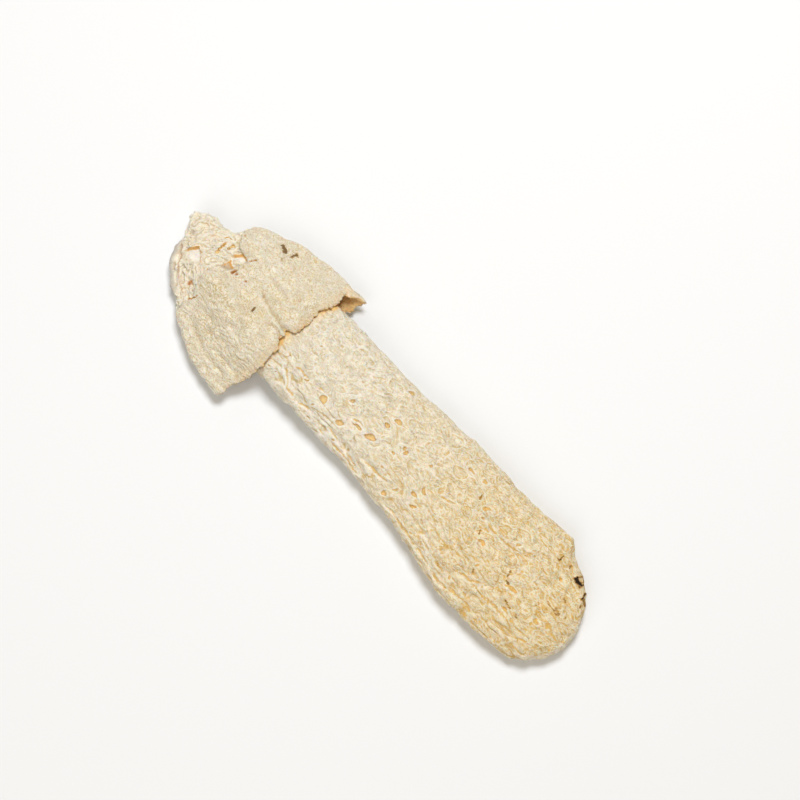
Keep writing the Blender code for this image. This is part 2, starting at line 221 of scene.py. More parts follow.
# gives a piece its material and the fields that it reads, and two more: how deep in mm each point lies
# under the skin close round it and farther round it
def finishPiece(piece, material, fields):
    points, normals, edges = skinOf(piece)
    near = blurred(points, edges, 2)
    wide = blurred(near, edges, 8)
    storeFields(piece, fields)
    storeFields(piece, {
        "hollow": np.einsum("ij,ij->i", near - points, normals),
        "dip": np.einsum("ij,ij->i", wide - points, normals),
    })
    piece.data.materials.clear()
    piece.data.materials.append(material)
    piece.data.shade_smooth()
    return piece


# oval pits with low rims: how deep they cut, and how far in mm each point lies outside the nearest one's edge
def pores(points, normals, places, rim):
    cut, outside = np.zeros(len(points)), np.full(len(points), 2.0)
    for centre, length, width, turn, normal, deep in places:
        offset = points - centre
        close = (np.abs(offset) < 4.0 * length + 1.0).all(axis=1) & (normals @ normal > 0.2)
        offset = offset[close]
        along = np.array([math.cos(turn), math.sin(turn), 0.0])
        ahead = offset @ along
        aside = np.sqrt(np.maximum((offset**2).sum(axis=1) - ahead**2, 0.0))
        # an oval that is a little pointed at its ends
        far = ((np.abs(ahead) / length) ** 1.7 + (aside / width) ** 1.7) ** (1.0 / 1.7)
        cut[close] += deep * (1.0 - smoothStep(far, 0.45, 1.05))
        cut[close] -= rim * min(1.0, width) * (bell(far - 1.35, 0.28) + 0.5 * bell(far - 2.3, 0.3))
        outside[close] = np.minimum(outside[close], (far - 1.05) * min(length, width))
    return cut, outside


def nearestOn(points, place, upwards):
    aside = np.linalg.norm(points[:, :2] - place, axis=1)
    return points[np.argmin(aside + np.where(upwards, 0.0, 1e6))]


# Helpers for materials. This one sets a node's inputs, each by a value or by a link.
def feed(tree, node, values):
    for key, value in values.items():
        if isinstance(value, bpy.types.NodeSocket):
            tree.links.new(value, node.inputs[key])
        else:
            node.inputs[key].default_value = value
    return node


def putNode(tree, kind, values, **settings):
    node = tree.nodes.new(kind)
    for key, value in settings.items():
        setattr(node, key, value)
    return feed(tree, node, values)


def mixColours(tree, share, first, second):
    return putNode(tree, "ShaderNodeMix", {0: share, 6: first, 7: second}, data_type="RGBA").outputs[2]


# coats laid over a colour one after another, each by its share
def paintOver(tree, colour, coats):
    for share, coat in coats:
        colour = mixColours(tree, share, colour, coat)
    return colour


def calculate(tree, operation, first, second=0.0, third=0.0):
    return putNode(tree, "ShaderNodeMath", {0: first, 1: second, 2: third}, operation=operation).outputs[0]


def times(tree, first, second, plus=0.0):
    return calculate(tree, "MULTIPLY_ADD", first, second, plus)


# value moved from the range low..high to 0..most, and held inside it
def inRange(tree, value, low, high, most=1.0):
    values = {"Value": value, "From Min": low, "From Max": high, "To Min": 0.0, "To Max": most}
    return putNode(tree, "ShaderNodeMapRange", values).outputs[0]


# 1 where the value is near a middle, fading to 0 at reach from it
def onLine(tree, value, middle, reach, most=1.0):
    away = calculate(tree, "ABSOLUTE", calculate(tree, "SUBTRACT", value, middle))
    return inRange(tree, away, reach, 0.2 * reach, most)


def fractalNoise(tree, place, scale, detail, roughness=0.5):
    values = {"Vector": place, "Scale": scale, "Detail": detail, "Roughness": roughness}
    return putNode(tree, "ShaderNodeTexNoise", values).outputs


# a group that is given a place, which it reads in mm, and some numbers
def openGroup(name, *numbers):
    group = bpy.data.node_groups.new(name, "ShaderNodeTree")
    group.interface.new_socket("Place", in_out="INPUT", socket_type="NodeSocketVector")
    for label in numbers:
        group.interface.new_socket(label, in_out="INPUT", socket_type="NodeSocketFloat")
    given = group.nodes.new("NodeGroupInput").outputs
    inMm = putNode(group, "ShaderNodeVectorMath", {0: given["Place"], "Scale": 1.0 / mm}, operation="SCALE")
    return group, given, inMm.outputs[0]


def closeGroup(group, results):
    for label in results:
        group.interface.new_socket(label, in_out="OUTPUT", socket_type="NodeSocketFloat")
    putNode(group, "NodeGroupOutput", results)
    return group


# Dried skin too fine for a mesh: broken, crossing creases along the middle of bent noise, over a grain, with
# shares for painted shade in the creases and painted highlight along their crests.
def makeDriedGrain():
    sizes = ("Grain Size", "Fold Size", "Mottle Size", "Stretch")
    group, given, place = openGroup("driedGrain", *sizes, "Fold Width")
    grainScale, foldScale, mottleScale, squeeze = (
        calculate(group, "DIVIDE", 1.0, given[label]) for label in sizes
    )
    slow = fractalNoise(group, place, 0.25, 1.0)["Color"]
    bend = putNode(
        group, "ShaderNodeVectorMath", {0: slow, 1: (4.0, 4.0, 4.0), 2: place}, operation="MULTIPLY_ADD",
    ).outputs[0]
    shrink = putNode(group, "ShaderNodeCombineXYZ", {"X": squeeze, "Y": 1.0, "Z": 1.0}).outputs[0]
    drawn = putNode(group, "ShaderNodeVectorMath", {0: bend, 1: shrink}, operation="MULTIPLY").outputs[0]
    level = fractalNoise(group, drawn, foldScale, 1.5)["Color"]
    levels = putNode(group, "ShaderNodeSeparateColor", {"Color": level}).outputs
    away = [
        calculate(group, "ABSOLUTE", calculate(group, "SUBTRACT", levels[part], 0.5))
        for part in ("Red", "Green")
    ]
    fold = times(group, calculate(group, "MINIMUM", *away), 4.0)
    fold = calculate(group, "DIVIDE", fold, given["Fold Width"])
    patch = fractalNoise(group, bend, times(group, foldScale, 0.7), 2.0)[0]
    patch = inRange(group, patch, 0.42, 0.58)
    grain = fractalNoise(group, drawn, grainScale, 3.0, 0.65)[0]
    pebbles = putNode(
        group, "ShaderNodeTexVoronoi",
        {"Vector": bend, "Scale": times(group, grainScale, 0.6), "Smoothness": 0.5}, feature="SMOOTH_F1",
    )
    return closeGroup(group, {
        "Height": times(group, times(group, inRange(group, fold, 0.0, 3.0), patch), 0.5, grain),
        "Valley Shade": times(group, inRange(group, fold, 1.0, 0.3), patch),
        "Crest Highlight": times(group, onLine(group, fold, 2.2, 1.2), patch),
        "Grain": grain,
        "Pebbles": calculate(group, "SUBTRACT", 1.0, pebbles.outputs["Distance"]),
        "Mottle": fractalNoise(group, place, mottleScale, 3.0)[0],
    })


# small soft-edged dots strewn over a skin, a share of its cells holding one
def makeStrewnDots():
    group, given, place = openGroup("strewnDots", "Spacing", "Radius", "Share")
    spacing, radius = given["Spacing"], given["Radius"]
    scale = calculate(group, "DIVIDE", 1.0, spacing)
    cells = putNode(group, "ShaderNodeTexVoronoi", {"Vector": place, "Scale": scale}).outputs
    parts = putNode(group, "ShaderNodeSeparateColor", {"Color": cells["Color"]}).outputs
    away = times(group, cells["Distance"], spacing)
    size = times(group, parts["Red"], radius, radius)
    dot = calculate(group, "SUBTRACT", 1.0, calculate(group, "DIVIDE", away, size))
    chosen = calculate(group, "LESS_THAN", parts["Green"], given["Share"])
    return closeGroup(group, {"Dots": times(group, inRange(group, dot, 0.0, 0.6), chosen)})


driedGrain = makeDriedGrain()
strewnDots = makeStrewnDots()


def startMaterial(name, own):
    material = bpy.data.materials.new(name)
    material.use_nodes = True
    tree = material.node_tree
    place = putNode(tree, "ShaderNodeTexCoord", {}).outputs["Object"]
    grain = putNode(tree, "ShaderNodeGroup", {"Place": place, **own["grain"]}, node_tree=driedGrain)
    dots = putNode(tree, "ShaderNodeGroup", {"Place": place, **own["dots"]}, node_tree=strewnDots)
    return material, tree, grain.outputs, dots.outputs["Dots"]


def field(tree, name):
    return putNode(tree, "ShaderNodeAttribute", {}, attribute_name=name).outputs["Fac"]


# joins the colour, the roughness and the relief to the material's own shader
def joinShader(tree, own, colour, fine, height):
    smoothest, roughest = own["roughness"]
    roughness = inRange(tree, fine, 0.3, 0.7, roughest - smoothest)
    bump = putNode(tree, "ShaderNodeBump", {"Height": height, "Strength": 1.0, "Distance": own["bump"]})
    feed(tree, tree.nodes["Principled BSDF"], {
        "Base Color": colour,
        "Roughness": calculate(tree, "ADD", roughness, smoothest),
        "Normal": bump.outputs[0],
        **own["shader"],
    })


# The stipe.
stipe = {
    "voxel": 0.432 * mm,
    "softening": 4,
    # where along the body the foot, the colour of age and the relief begin and are complete
    "footFrom": (95.0, 150.0),
    "ageFrom": (55.0, 172.0),
    "shownFrom": (42.0, 50.0),
    # how far across its lower side starts to roll down, and is rolled down
    "rolledFrom": (3.0, 9.0),
    # across and up to the stipe's middle line
    "middle": (1.5, 5.5),
    # bumps: size, stretch, offset, height
    "bumps": [(0.9, 1.2, 31.0, 0.05), (2.4, 1.4, 33.0, 0.07)],
    # The solid's own pits are calmed, then each pore is cut at its true size. These are the steps of
    # a blur, and shares of the way to it.
    "calming": {"steps": 24, "least": 0.5, "atFoot": 0.25, "byPores": 0.45, "most": 0.95},
    # folds in mm: name, size, stretch, offset, width, and heights on the neck, foot and lower edge
    "folds": [
        ("longFold", 3.2, 3.0, 5.0, 0.9, 0.06, 0.09, 0.15),
        ("shortFold", 1.6, 2.4, 9.0, 0.5, 0.03, 0.06, 0.07),
        ("edgeFold", 2.4, 5.0, 14.0, 0.7, 0.0, 0.06, 0.42),
    ],
    # half the width of the line that runs down each fold: painted shade in its groove, partly the skin's
    # darker colour
    "foldShadeLines": {"longFold": 0.15, "shortFold": 0.1, "edgeFold": 0.18},
    # cells of the sponge: size, stretch, and height at the foot
    "sponge": (1.7, 2.2, 0.05),
    # how deep the pores go on the neck and at the foot, and how much wider they are at the foot
    "poreDepths": (0.55, 0.3),
    "footPoreGrowth": 1.2,
    "poreRim": 0.14,
    # (along, across, half length, half width, turn in degrees)
    "pores": [
        (53.4, -0.4, 0.3, 0.25, 0), (58.7, -0.4, 0.3, 0.25, 0), (56.7, 4.2, 0.6, 0.35, 70),
        (60.6, 3.1, 0.5, 0.35, 0), (61.2, -5.9, 0.65, 0.45, 0), (69.4, -6.0, 1.45, 1.2, -10),
        (73.4, 6.8, 0.85, 0.5, 65), (75.8, 0.6, 0.65, 0.4, 50), (78.4, -7.1, 1.4, 0.75, 20),
        (82.6, -3.4, 2.2, 0.7, 18), (87.9, -2.8, 2.1, 0.85, 20), (89.8, 6.6, 1.05, 0.9, 10),
        (88.3, 3.3, 1.1, 0.95, 0), (85.6, 16.0, 0.7, 0.45, 15), (95.8, -1.2, 0.9, 0.5, -20),
        (96.7, 2.4, 0.8, 0.5, -15), (98.3, 1.9, 0.85, 0.55, -20), (106.7, 5.0, 0.65, 0.55, 0),
        (103.6, -11.2, 1.1, 0.9, 40), (104.9, -7.8, 0.8, 0.55, 60), (86.0, -10.4, 1.0, 0.45, -20),
        (80.7, -11.8, 1.1, 0.5, 10), (69.8, -12.6, 0.9, 0.4, -10), (68.2, -9.6, 0.6, 0.35, 30),
        (59.9, -9.6, 0.3, 0.25, 0), (50.6, -11.4, 0.3, 0.25, 0), (53.0, -11.4, 0.3, 0.25, 0),
        (87.2, -7.5, 0.3, 0.25, 0), (100.2, 16.0, 0.4, 0.3, 0), (106.7, 16.7, 0.5, 0.3, 0),
        (109.5, -4.3, 1.1, 0.6, 15), (111.0, -1.3, 1.5, 0.55, -35), (112.6, -7.1, 1.4, 0.4, -5),
        (117.5, -12.9, 0.4, 0.35, 0), (115.7, 13.6, 1.2, 0.45, 0), (121.2, 14.4, 0.8, 0.5, 20),
        (123.7, 10.3, 0.55, 0.4, 75), (127.7, 9.4, 1.0, 0.55, 30), (128.7, 6.4, 0.65, 0.35, 0),
        (131.3, 2.9, 0.75, 0.35, 45), (134.2, 1.2, 1.8, 0.5, 20), (142.0, 9.3, 0.5, 0.3, 0),
        (138.4, -4.2, 0.6, 0.35, 10), (135.8, -13.3, 0.45, 0.4, 0), (150.8, -1.3, 1.6, 0.45, 5),
        (153.5, -6.9, 1.3, 0.45, -5), (162.6, -2.1, 0.9, 0.45, 20), (158.2, 12.5, 1.0, 0.45, -30),
        (144.4, -7.6, 0.5, 0.3, 20), (148.6, 4.6, 0.45, 0.3, 0), (156.4, 3.6, 0.5, 0.3, 30),
        (165.8, -7.0, 0.5, 0.3, 0),
    ],
    "rottenPores": [(162.2, 15.7, 1.2, 0.7, -10), (168.2, 13.2, 0.7, 0.5, -30)],
    # pores strewn where none is listed: how many, how far apart, and where along the body
    "strewnPores": 230,
    "strewnGap": 3.6,
    "strewnAlong": (50.0, 172.0),
    # rims of pores that dried shut: how many, their half lengths, and heights on the neck and the foot
    "shutPores": 1150,
    "shutLengths": (0.9, 3.8),
    "shutRim": (0.22, 0.14),
    # long sunken lines, with their width and depth
    "creases": [
        ([(48, -3.6), (55, -5.2), (61, -5.7), (66, -4.6), (71, -4.0)], 0.5, 0.45),
        ([(50, -7.4), (55, -8.6), (59, -12.0), (64, -12.4), (67, -11.6), (72, -10.4)], 0.5, 0.5),
        ([(72, -10.8), (76, -10.2), (82, -11.2), (88, -11.6), (95, -13.0)], 0.55, 0.6),
        ([(71, -13.4), (80, -13.0), (88, -12.8), (97, -13.6)], 0.5, 0.4),
        ([(90, -9.2), (97, -8.6), (103, -7.6)], 0.45, 0.45),
        ([(79, -3.6), (82, -2.4), (85, -2.6)], 0.4, 0.4),
        ([(114, 1.0), (118, 2.2), (124, 5.0)], 0.8, 0.45),
        ([(128, 6.6), (137, 6.4), (146, 8.4)], 0.6, 0.4),
        ([(135, -9.8), (140, -9.0), (144, -6.6), (147, -5.4)], 0.55, 0.5),
        ([(154.0, 6.9), (157.1, 7.8), (159.4, 7.5), (162.6, 6.7)], 0.6, 0.5),
        ([(152.8, 3.6), (153.6, 5.0), (155.4, 5.4)], 0.5, 0.35),
        ([(100, -12.4), (110, -13.0), (122, -14.6), (134, -16.2), (148, -16.6)], 0.5, 0.5),
        ([(118, -10.6), (126, -12.4), (136, -14.0)], 0.5, 0.4),
    ],
    # how far the painted amber shadow of the cap's margin reaches on the stipe: (across, along)
    "paintedShadowReach": [(-16, 48.6), (-8, 49.2), (-3, 48.6), (1, 48.7), (6, 49.0), (12, 49.8), (16, 51.6)],
    # dark marks: corners, half width, strength
    "marks": [
        ([(161.3, 15.9), (162.2, 15.6), (163.3, 15.5)], 0.85, 1.0),
        ([(161.3, 16.4), (162.0, 17.9)], 0.26, 0.6),
        ([(162.0, 18.0), (163.4, 17.5), (164.3, 16.6)], 0.38, 0.68),
        ([(164.2, 16.5), (163.5, 15.3)], 0.36, 0.85), ([(164.9, 16.4), (165.6, 16.0)], 0.3, 0.6),
        ([(166.5, 15.0), (166.9, 13.1)], 0.32, 0.9), ([(167.6, 13.4), (169.0, 12.5)], 0.45, 0.65),
        ([(168.2, 11.4), (168.5, 10.8)], 0.28, 0.55),
        ([(157.4, 17.4), (157.3, 16.9), (157.6, 16.4)], 0.24, 0.45),
        ([(153.6, 17.5), (153.7, 15.6)], 0.27, 0.82), ([(152.9, 15.6), (153.8, 15.5)], 0.24, 0.5),
        ([(146.2, 2.2), (146.5, 1.8)], 0.32, 0.5), ([(146.7, 1.2), (146.9, 0.2)], 0.28, 0.6),
        ([(147.7, -0.7), (148.6, -1.0)], 0.34, 0.8), ([(163.1, 9.2), (164.4, 8.4)], 0.28, 0.55),
        ([(160.6, 4.4), (163.5, 4.1), (165.3, 3.6)], 0.26, 0.42),
        ([(164.0, 5.0), (165.8, 4.3)], 0.55, 0.36), ([(167.5, 5.6), (167.9, 5.0)], 0.28, 0.5),
        ([(123.5, 10.9), (123.9, 9.6)], 0.26, 0.5), ([(151.9, -4.9), (154.5, -5.5)], 0.25, 0.55),
        ([(157.0, -5.6), (157.9, -5.8)], 0.25, 0.5), ([(161.7, 2.9), (162.3, 2.7)], 0.25, 0.45),
        ([(129.6, -12.6), (130.6, -13.2)], 0.25, 0.4), ([(131.0, 3.4), (131.7, 2.4)], 0.24, 0.5),
        ([(138.6, -6.0), (139.4, -6.8)], 0.25, 0.4),
    ],
    # a painted highlight along the thin edge of the foot's end, where light catches it
    "paintedEdgeHighlight": [([(171.8, 8.6), (173.6, 5.0), (174.0, 0.0), (173.0, -5.6), (170.0, -10.6)], 0.9, 0.5)],
    "pale": (0.75, 0.71, 0.58, 1.0),
    "warm": (0.71, 0.585, 0.31, 1.0),
    "white": (0.93, 0.92, 0.86, 1.0),
    "cream": (0.94, 0.90, 0.74, 1.0),
    "tan": (0.62, 0.47, 0.21, 1.0),
    "amber": (0.74, 0.46, 0.115, 1.0),
    "poreTan": (0.82, 0.60, 0.29, 1.0),
    "poreAmber": (0.88, 0.56, 0.17, 1.0),
    "brown": (0.36, 0.19, 0.045, 1.0),
    "rot": (0.03, 0.016, 0.007, 1.0),
    "grain": {"Grain Size": 0.62, "Fold Size": 1.3, "Fold Width": 0.1, "Stretch": 2.0, "Mottle Size": 15.0},
    "dots": {"Spacing": 3.2, "Radius": 0.22, "Share": 0.3},
    "roughness": (0.62, 0.87),
    "bump": 0.36 * mm,
    "shader": {
        "Specular IOR Level": 0.3, "Subsurface Weight": 0.3, "Subsurface Scale": 0.8 * mm,
        "Subsurface Radius": (1.0, 0.55, 0.22),
    },
}


# pores strewn over the sides and the underside, and small ones between those that are listed
def strewnPores(points, normals, listed):
    draw = np.random.default_rng(23)
    places = list(listed)
    for _ in range(4 * stipe["strewnPores"]):
        along, around = draw.uniform(*stipe["strewnAlong"]), draw.uniform(0.0, 2.0 * math.pi)
        length, shape, turn = draw.uniform(0.35, 1.0) ** 1.5, draw.uniform(0.55, 0.9), draw.normal(0.0, 0.35)
        ring = np.flatnonzero(np.abs(points[:, 0] - along) < 0.5)
        out = points[ring, 1:] - stipe["middle"]
        facing = np.cos(np.arctan2(out[:, 1] * 2.0, out[:, 0]) - around)
        index = ring[np.argmax(facing)]
        unseen = normals[index, 2] < 0.2
        length *= 1.7 if unseen else 0.4
        gap = stipe["strewnGap"] * (1.4 if unseen else 1.0) + length
        if all(np.linalg.norm(points[index] - place[0]) > gap + place[1] for place in places):
            deep = stipe["poreDepths"][0] * min(1.0, 1.4 * length)
            places.append((points[index], length, length * shape, turn, normals[index], deep))
        if len(places) - len(listed) >= stipe["strewnPores"]:
            break
    return places


def listedPores(points, normals, rows):
    upwards, up = normals[:, 2] > 0.3, np.array([0.0, 0.0, 1.0])
    places = []
    for along, across, length, width, turn in rows:
        centre = nearestOn(points, (along, across), upwards)
        toFoot = float(smoothStep(along, 100.0, 120.0))
        grown = between(1.0, stipe["footPoreGrowth"], toFoot)
        deep = between(*stipe["poreDepths"], toFoot)
        places.append((centre, grown * length, grown * width, math.radians(turn), up, deep))
    return places


# rims of shut pores: how far in mm each point lies inside the nearest one, and how much of it shows
def shutPores(points, normals):
    draw = np.random.default_rng(31)
    order = np.argsort(points[:, 0])
    inward, share, best = np.full(len(points), 3.0), np.zeros(len(points)), np.full(len(points), 3.0)
    for middle in draw.integers(len(points), size=stipe["shutPores"]):
        length = draw.uniform(*stipe["shutLengths"])
        width = length * draw.uniform(0.3, 0.68)
        turn, opening = draw.normal(0.1, 0.3), draw.uniform(0.0, 2.0 * math.pi)
        ends = points[middle, 0] + np.array([-1.6, 1.6]) * length
        close = order[slice(*np.searchsorted(points[order, 0], ends))]
        offset = points[close] - points[middle]
        along = np.array([math.cos(turn), math.sin(turn), 0.0])
        ahead, aside = offset @ along, offset @ np.cross(normals[middle], along)
        far = np.maximum(np.hypot(ahead / length, aside / width), 0.05)
        within = np.hypot(ahead, aside) * (1.0 / far - 1.0)
        arc = smoothStep(np.cos(np.arctan2(aside / width, ahead / length) - opening), -0.6, 0.3)
        arc *= smoothStep(normals[close] @ normals[middle], 0.2, 0.5)
        score = np.abs(within) + 1.2 * (1.0 - arc)
        better = score < best[close]
        close = close[better]
        inward[close], share[close], best[close] = within[better], arc[better], score[better]
    return inward, share


# marks on the upper side, each along a line through its corners
def markField(points, normals, marks):
    marked = np.zeros(len(points))
    ragged = 0.7 * softNoise(points, 0.9, 1.0, 61.0)
    for corners, width, strength in marks:
        away = readLine(points, corners)[0] / width + ragged
        marked = np.maximum(marked, strength * (1.0 - smoothStep(away, 0.5, 1.2)))
    return np.where(normals[:, 2] > 0.0, marked, 0.0)


def makeStipe():
    piece = fineCopy("stipe", "stipeSponge", stipe["voxel"], stipe["softening"])
    points, normals, _ = skinOf(piece)
    foot = smoothStep(points[:, 0] + 7.0 * softNoise(points, 22.0, 1.0, 3.0), *stipe["footFrom"])
    places = listedPores(points, normals, stipe["pores"])
    byPore = 1.0 - smoothStep(pores(points, normals, places, 0.0)[1], 0.3, 1.2)
    calming = stipe["calming"]
    share = calming["least"] + calming["atFoot"] * foot + calming["byPores"] * byPore
    share = np.minimum(calming["most"], share)
    points, normals, _ = calmSkin(piece, share[:, None], calming["steps"])
    shown = smoothStep(points[:, 0], *stipe["shownFrom"])
    wandering = bent(points, 6.0, 1.4, 40.0)
    swaying = bent(points, 5.5, 1.0, 44.0)
    rolled = smoothStep(-points[:, 1] + 2.0 * softNoise(points, 12.0, 1.0, 17.0), *stipe["rolledFrom"])
    cell, drawn, spongeHigh = stipe["sponge"]
    height = spongeHigh * foot * (cellWalls(wandering, cell, drawn, 0.03, 0.5) - 0.5)
    height += addedNoise(points, stipe["bumps"])
    for name, size, stretch, offset, width, onNeck, onFoot, onEdge in stipe["folds"]:
        side = softNoise(wandering if stretch < 5.0 else swaying, size, stretch, offset) * size / 1.3
        share = smoothStep(softNoise(points, 2.2 * size, 1.6, offset + 30.0), -0.3, 0.15)
        high = np.maximum(between(onNeck, onFoot, foot), onEdge * rolled)
        rise = smoothStep(np.abs(side), 0.0, width) - 0.6 + 0.3 * np.tanh(2.0 * side / width)
        height += high * share * rise
        storeFields(piece, {name: side, name + "Share": share * np.minimum(1.0, high / 0.1)})
    inward, arcs = shutPores(bent(points, 2.6, 0.9, 47.0), normals)
    arcs *= 1.0 - 0.6 * rolled
    rimHigh = between(*stipe["shutRim"], foot)
    height += rimHigh * arcs * (bell(inward, 0.26) - 0.7 * bell(inward - 0.55, 0.36))
    upper = smoothStep(normals[:, 2], -0.1, 0.25)
    creased = np.full(len(points), 3.0)
    broken = smoothStep(softNoise(points, 3.0, 2.0, 64.0), -0.55, -0.1)
    uneven = points + 0.5 * softNoise(points, 2.5, 1.0, 50.0)[:, None]
    for corners, width, depth in stipe["creases"]:
        away, taper = readLine(uneven, corners)
        depth, width = 0.6 * depth * upper * broken * taper, 0.75 * width
        creased = np.minimum(creased, away + 1.5 * (1.0 - broken * upper * taper))
        height -= depth * (bell(away, width) - 0.5 * bell(away - 2.2 * width, 0.9 * width))
    places = listedPores(points, normals, stipe["pores"])
    places += listedPores(points, normals, stipe["rottenPores"])
    places = strewnPores(points, normals, places)
    cut, outside = pores(bent(points, 2.2, 0.9, 90.0), normals, places, stipe["poreRim"])
    height = height * smoothStep(outside, -0.2, 0.3) - cut
    raiseSkin(piece, points, normals, height * shown)
    # painted shadow: the stipe's upper side turns amber where the cap's margin shades it, most right under
    # the margin
    margin = points[:, 0] - readAlong(stipe["paintedShadowReach"], points[:, 1])
    margin -= 0.8 * softNoise(points, 2.0, 1.0, 66.0)
    paintedMarginShadow = 0.35 * (1.0 - smoothStep(margin, -1.4, 1.6)) + 0.55 * (1.0 - smoothStep(margin, -1.8, -0.4))
    aged = points[:, 0] + 8.0 * softNoise(points, 18.0, 1.0, 9.0)
    print("stipe: points", len(points), "pores", len(places))
    return finishPiece(piece, makeSpongeMaterial(), {
        "poreEdge": outside, "shutRim": inward, "shutShare": arcs, "crease": creased, "foot": foot,
        "paintedMarginShadow": upper * paintedMarginShadow,
        "age": smoothStep(aged, *stipe["ageFrom"]),
        "stain": markField(points, normals, stipe["marks"]),
        "paintedEdgeHighlight": markField(points, normals, stipe["paintedEdgeHighlight"]),
    })


def makeSpongeMaterial():
    material, tree, grain, dots = startMaterial("driedSponge", stipe)
    fine, foot, age = grain["Grain"], field(tree, "foot"), field(tree, "age")
    light = mixColours(tree, age, stipe["white"], stipe["cream"])
    foldColourAndShade = mixColours(tree, age, stipe["tan"], stipe["amber"])
    poreColour = mixColours(tree, age, stipe["poreTan"], stipe["poreAmber"])
    warmth = times(tree, inRange(tree, grain["Mottle"], 0.4, 0.65), 0.25, age)
    # painted shade and highlight: how deep the skin lies under its surroundings, amber in hollows and lighter
    # on bumps
    depthForPaintedShade = times(tree, field(tree, "dip"), 0.4, field(tree, "hollow"))
    speckShare = times(tree, age, 0.7, 0.2)
    hollowShadeShare = times(tree, foot, 0.35, 0.35)
    valleyShadeShare = times(tree, foot, 0.6, 0.3)
    colour = mixColours(tree, inRange(tree, warmth, 0.1, 1.15), stipe["pale"], stipe["warm"])
    colour = paintOver(tree, colour, [
        (inRange(tree, fine, 0.51, 0.57, 0.9), light),
        (times(tree, inRange(tree, fine, 0.465, 0.415), speckShare), stipe["amber"]),
        # painted shade in hollows, then painted highlight on bumps
        (times(tree, inRange(tree, depthForPaintedShade, 0.02, 0.18), hollowShadeShare), stipe["amber"]),
        (inRange(tree, depthForPaintedShade, -0.03, -0.16, 0.4), light),
        # painted shade in the grain's fine creases and painted highlight on their crests, partly the skin's
        # own darker and paler colour
        (times(tree, grain["Valley Shade"], valleyShadeShare), foldColourAndShade),
        (times(tree, grain["Crest Highlight"], 0.4), light),
    ])
    # the grain makes every line and edge below a little uneven
    wobble = calculate(tree, "SUBTRACT", fine, 0.5)
    for name, width in stipe["foldShadeLines"].items():
        away = times(tree, wobble, 0.6, calculate(tree, "ABSOLUTE", field(tree, name)))
        share = field(tree, name + "Share")
        # painted highlight along each fold's raised side and painted shade in its groove, partly the skin's
        # own paler and darker colour
        colour = paintOver(tree, colour, [
            (times(tree, onLine(tree, away, 2.6 * width, 1.4 * width, 0.4), share), light),
            (times(tree, inRange(tree, away, width, 0.2 * width, 0.85), share), foldColourAndShade),
        ])
    shutRim = times(tree, wobble, 0.5, field(tree, "shutRim"))
    shutShare = field(tree, "shutShare")
    rimShadeShare = times(tree, shutShare, times(tree, age, 0.3, 0.36))
    crease = times(tree, wobble, 0.7, field(tree, "crease"))
    poreEdge = times(tree, wobble, 0.6, field(tree, "poreEdge"))
    ringShare = times(tree, age, -0.35, 0.45)
    stain = times(tree, wobble, 0.8, field(tree, "stain"))
    colour = paintOver(tree, colour, [
        # painted shade just inside each shut pore's rim, partly the skin's tan there; the rim itself is
        # painted whiter
        (times(tree, onLine(tree, shutRim, 0.4, 0.26), rimShadeShare), foldColourAndShade),
        (times(tree, onLine(tree, shutRim, 0.0, 0.24, 0.5), shutShare), light),
        # painted highlight beside each crease and painted shade in it, partly the skin's darker colour
        (onLine(tree, crease, 0.7, 0.4, 0.6), light),
        (inRange(tree, crease, 0.36, 0.1, 0.75), stipe["amber"]),
        (onLine(tree, poreEdge, 0.35, 0.3, 0.6), light),
        (inRange(tree, poreEdge, 0.08, -0.06, 0.95), poreColour),
        (inRange(tree, poreEdge, -0.35, -0.8, 0.5), stipe["warm"]),
        (times(tree, onLine(tree, poreEdge, -0.1, 0.16), ringShare), stipe["brown"]),
        (times(tree, dots, 0.6), poreColour),
        # painted shadow of the cap's margin
        (field(tree, "paintedMarginShadow"), stipe["poreAmber"]),
        # painted highlight on the edge of the foot's end
        (field(tree, "paintedEdgeHighlight"), stipe["white"]),
        (inRange(tree, stain, 0.02, 0.2, 0.6), stipe["amber"]),
        (inRange(tree, stain, 0.15, 0.42, 0.95), stipe["brown"]),
        (inRange(tree, stain, 0.62, 0.86), stipe["rot"]),
    ])
    height = times(tree, grain["Height"], times(tree, foot, 0.15, 1.0))
    joinShader(tree, stipe, colour, fine, height)
    return material


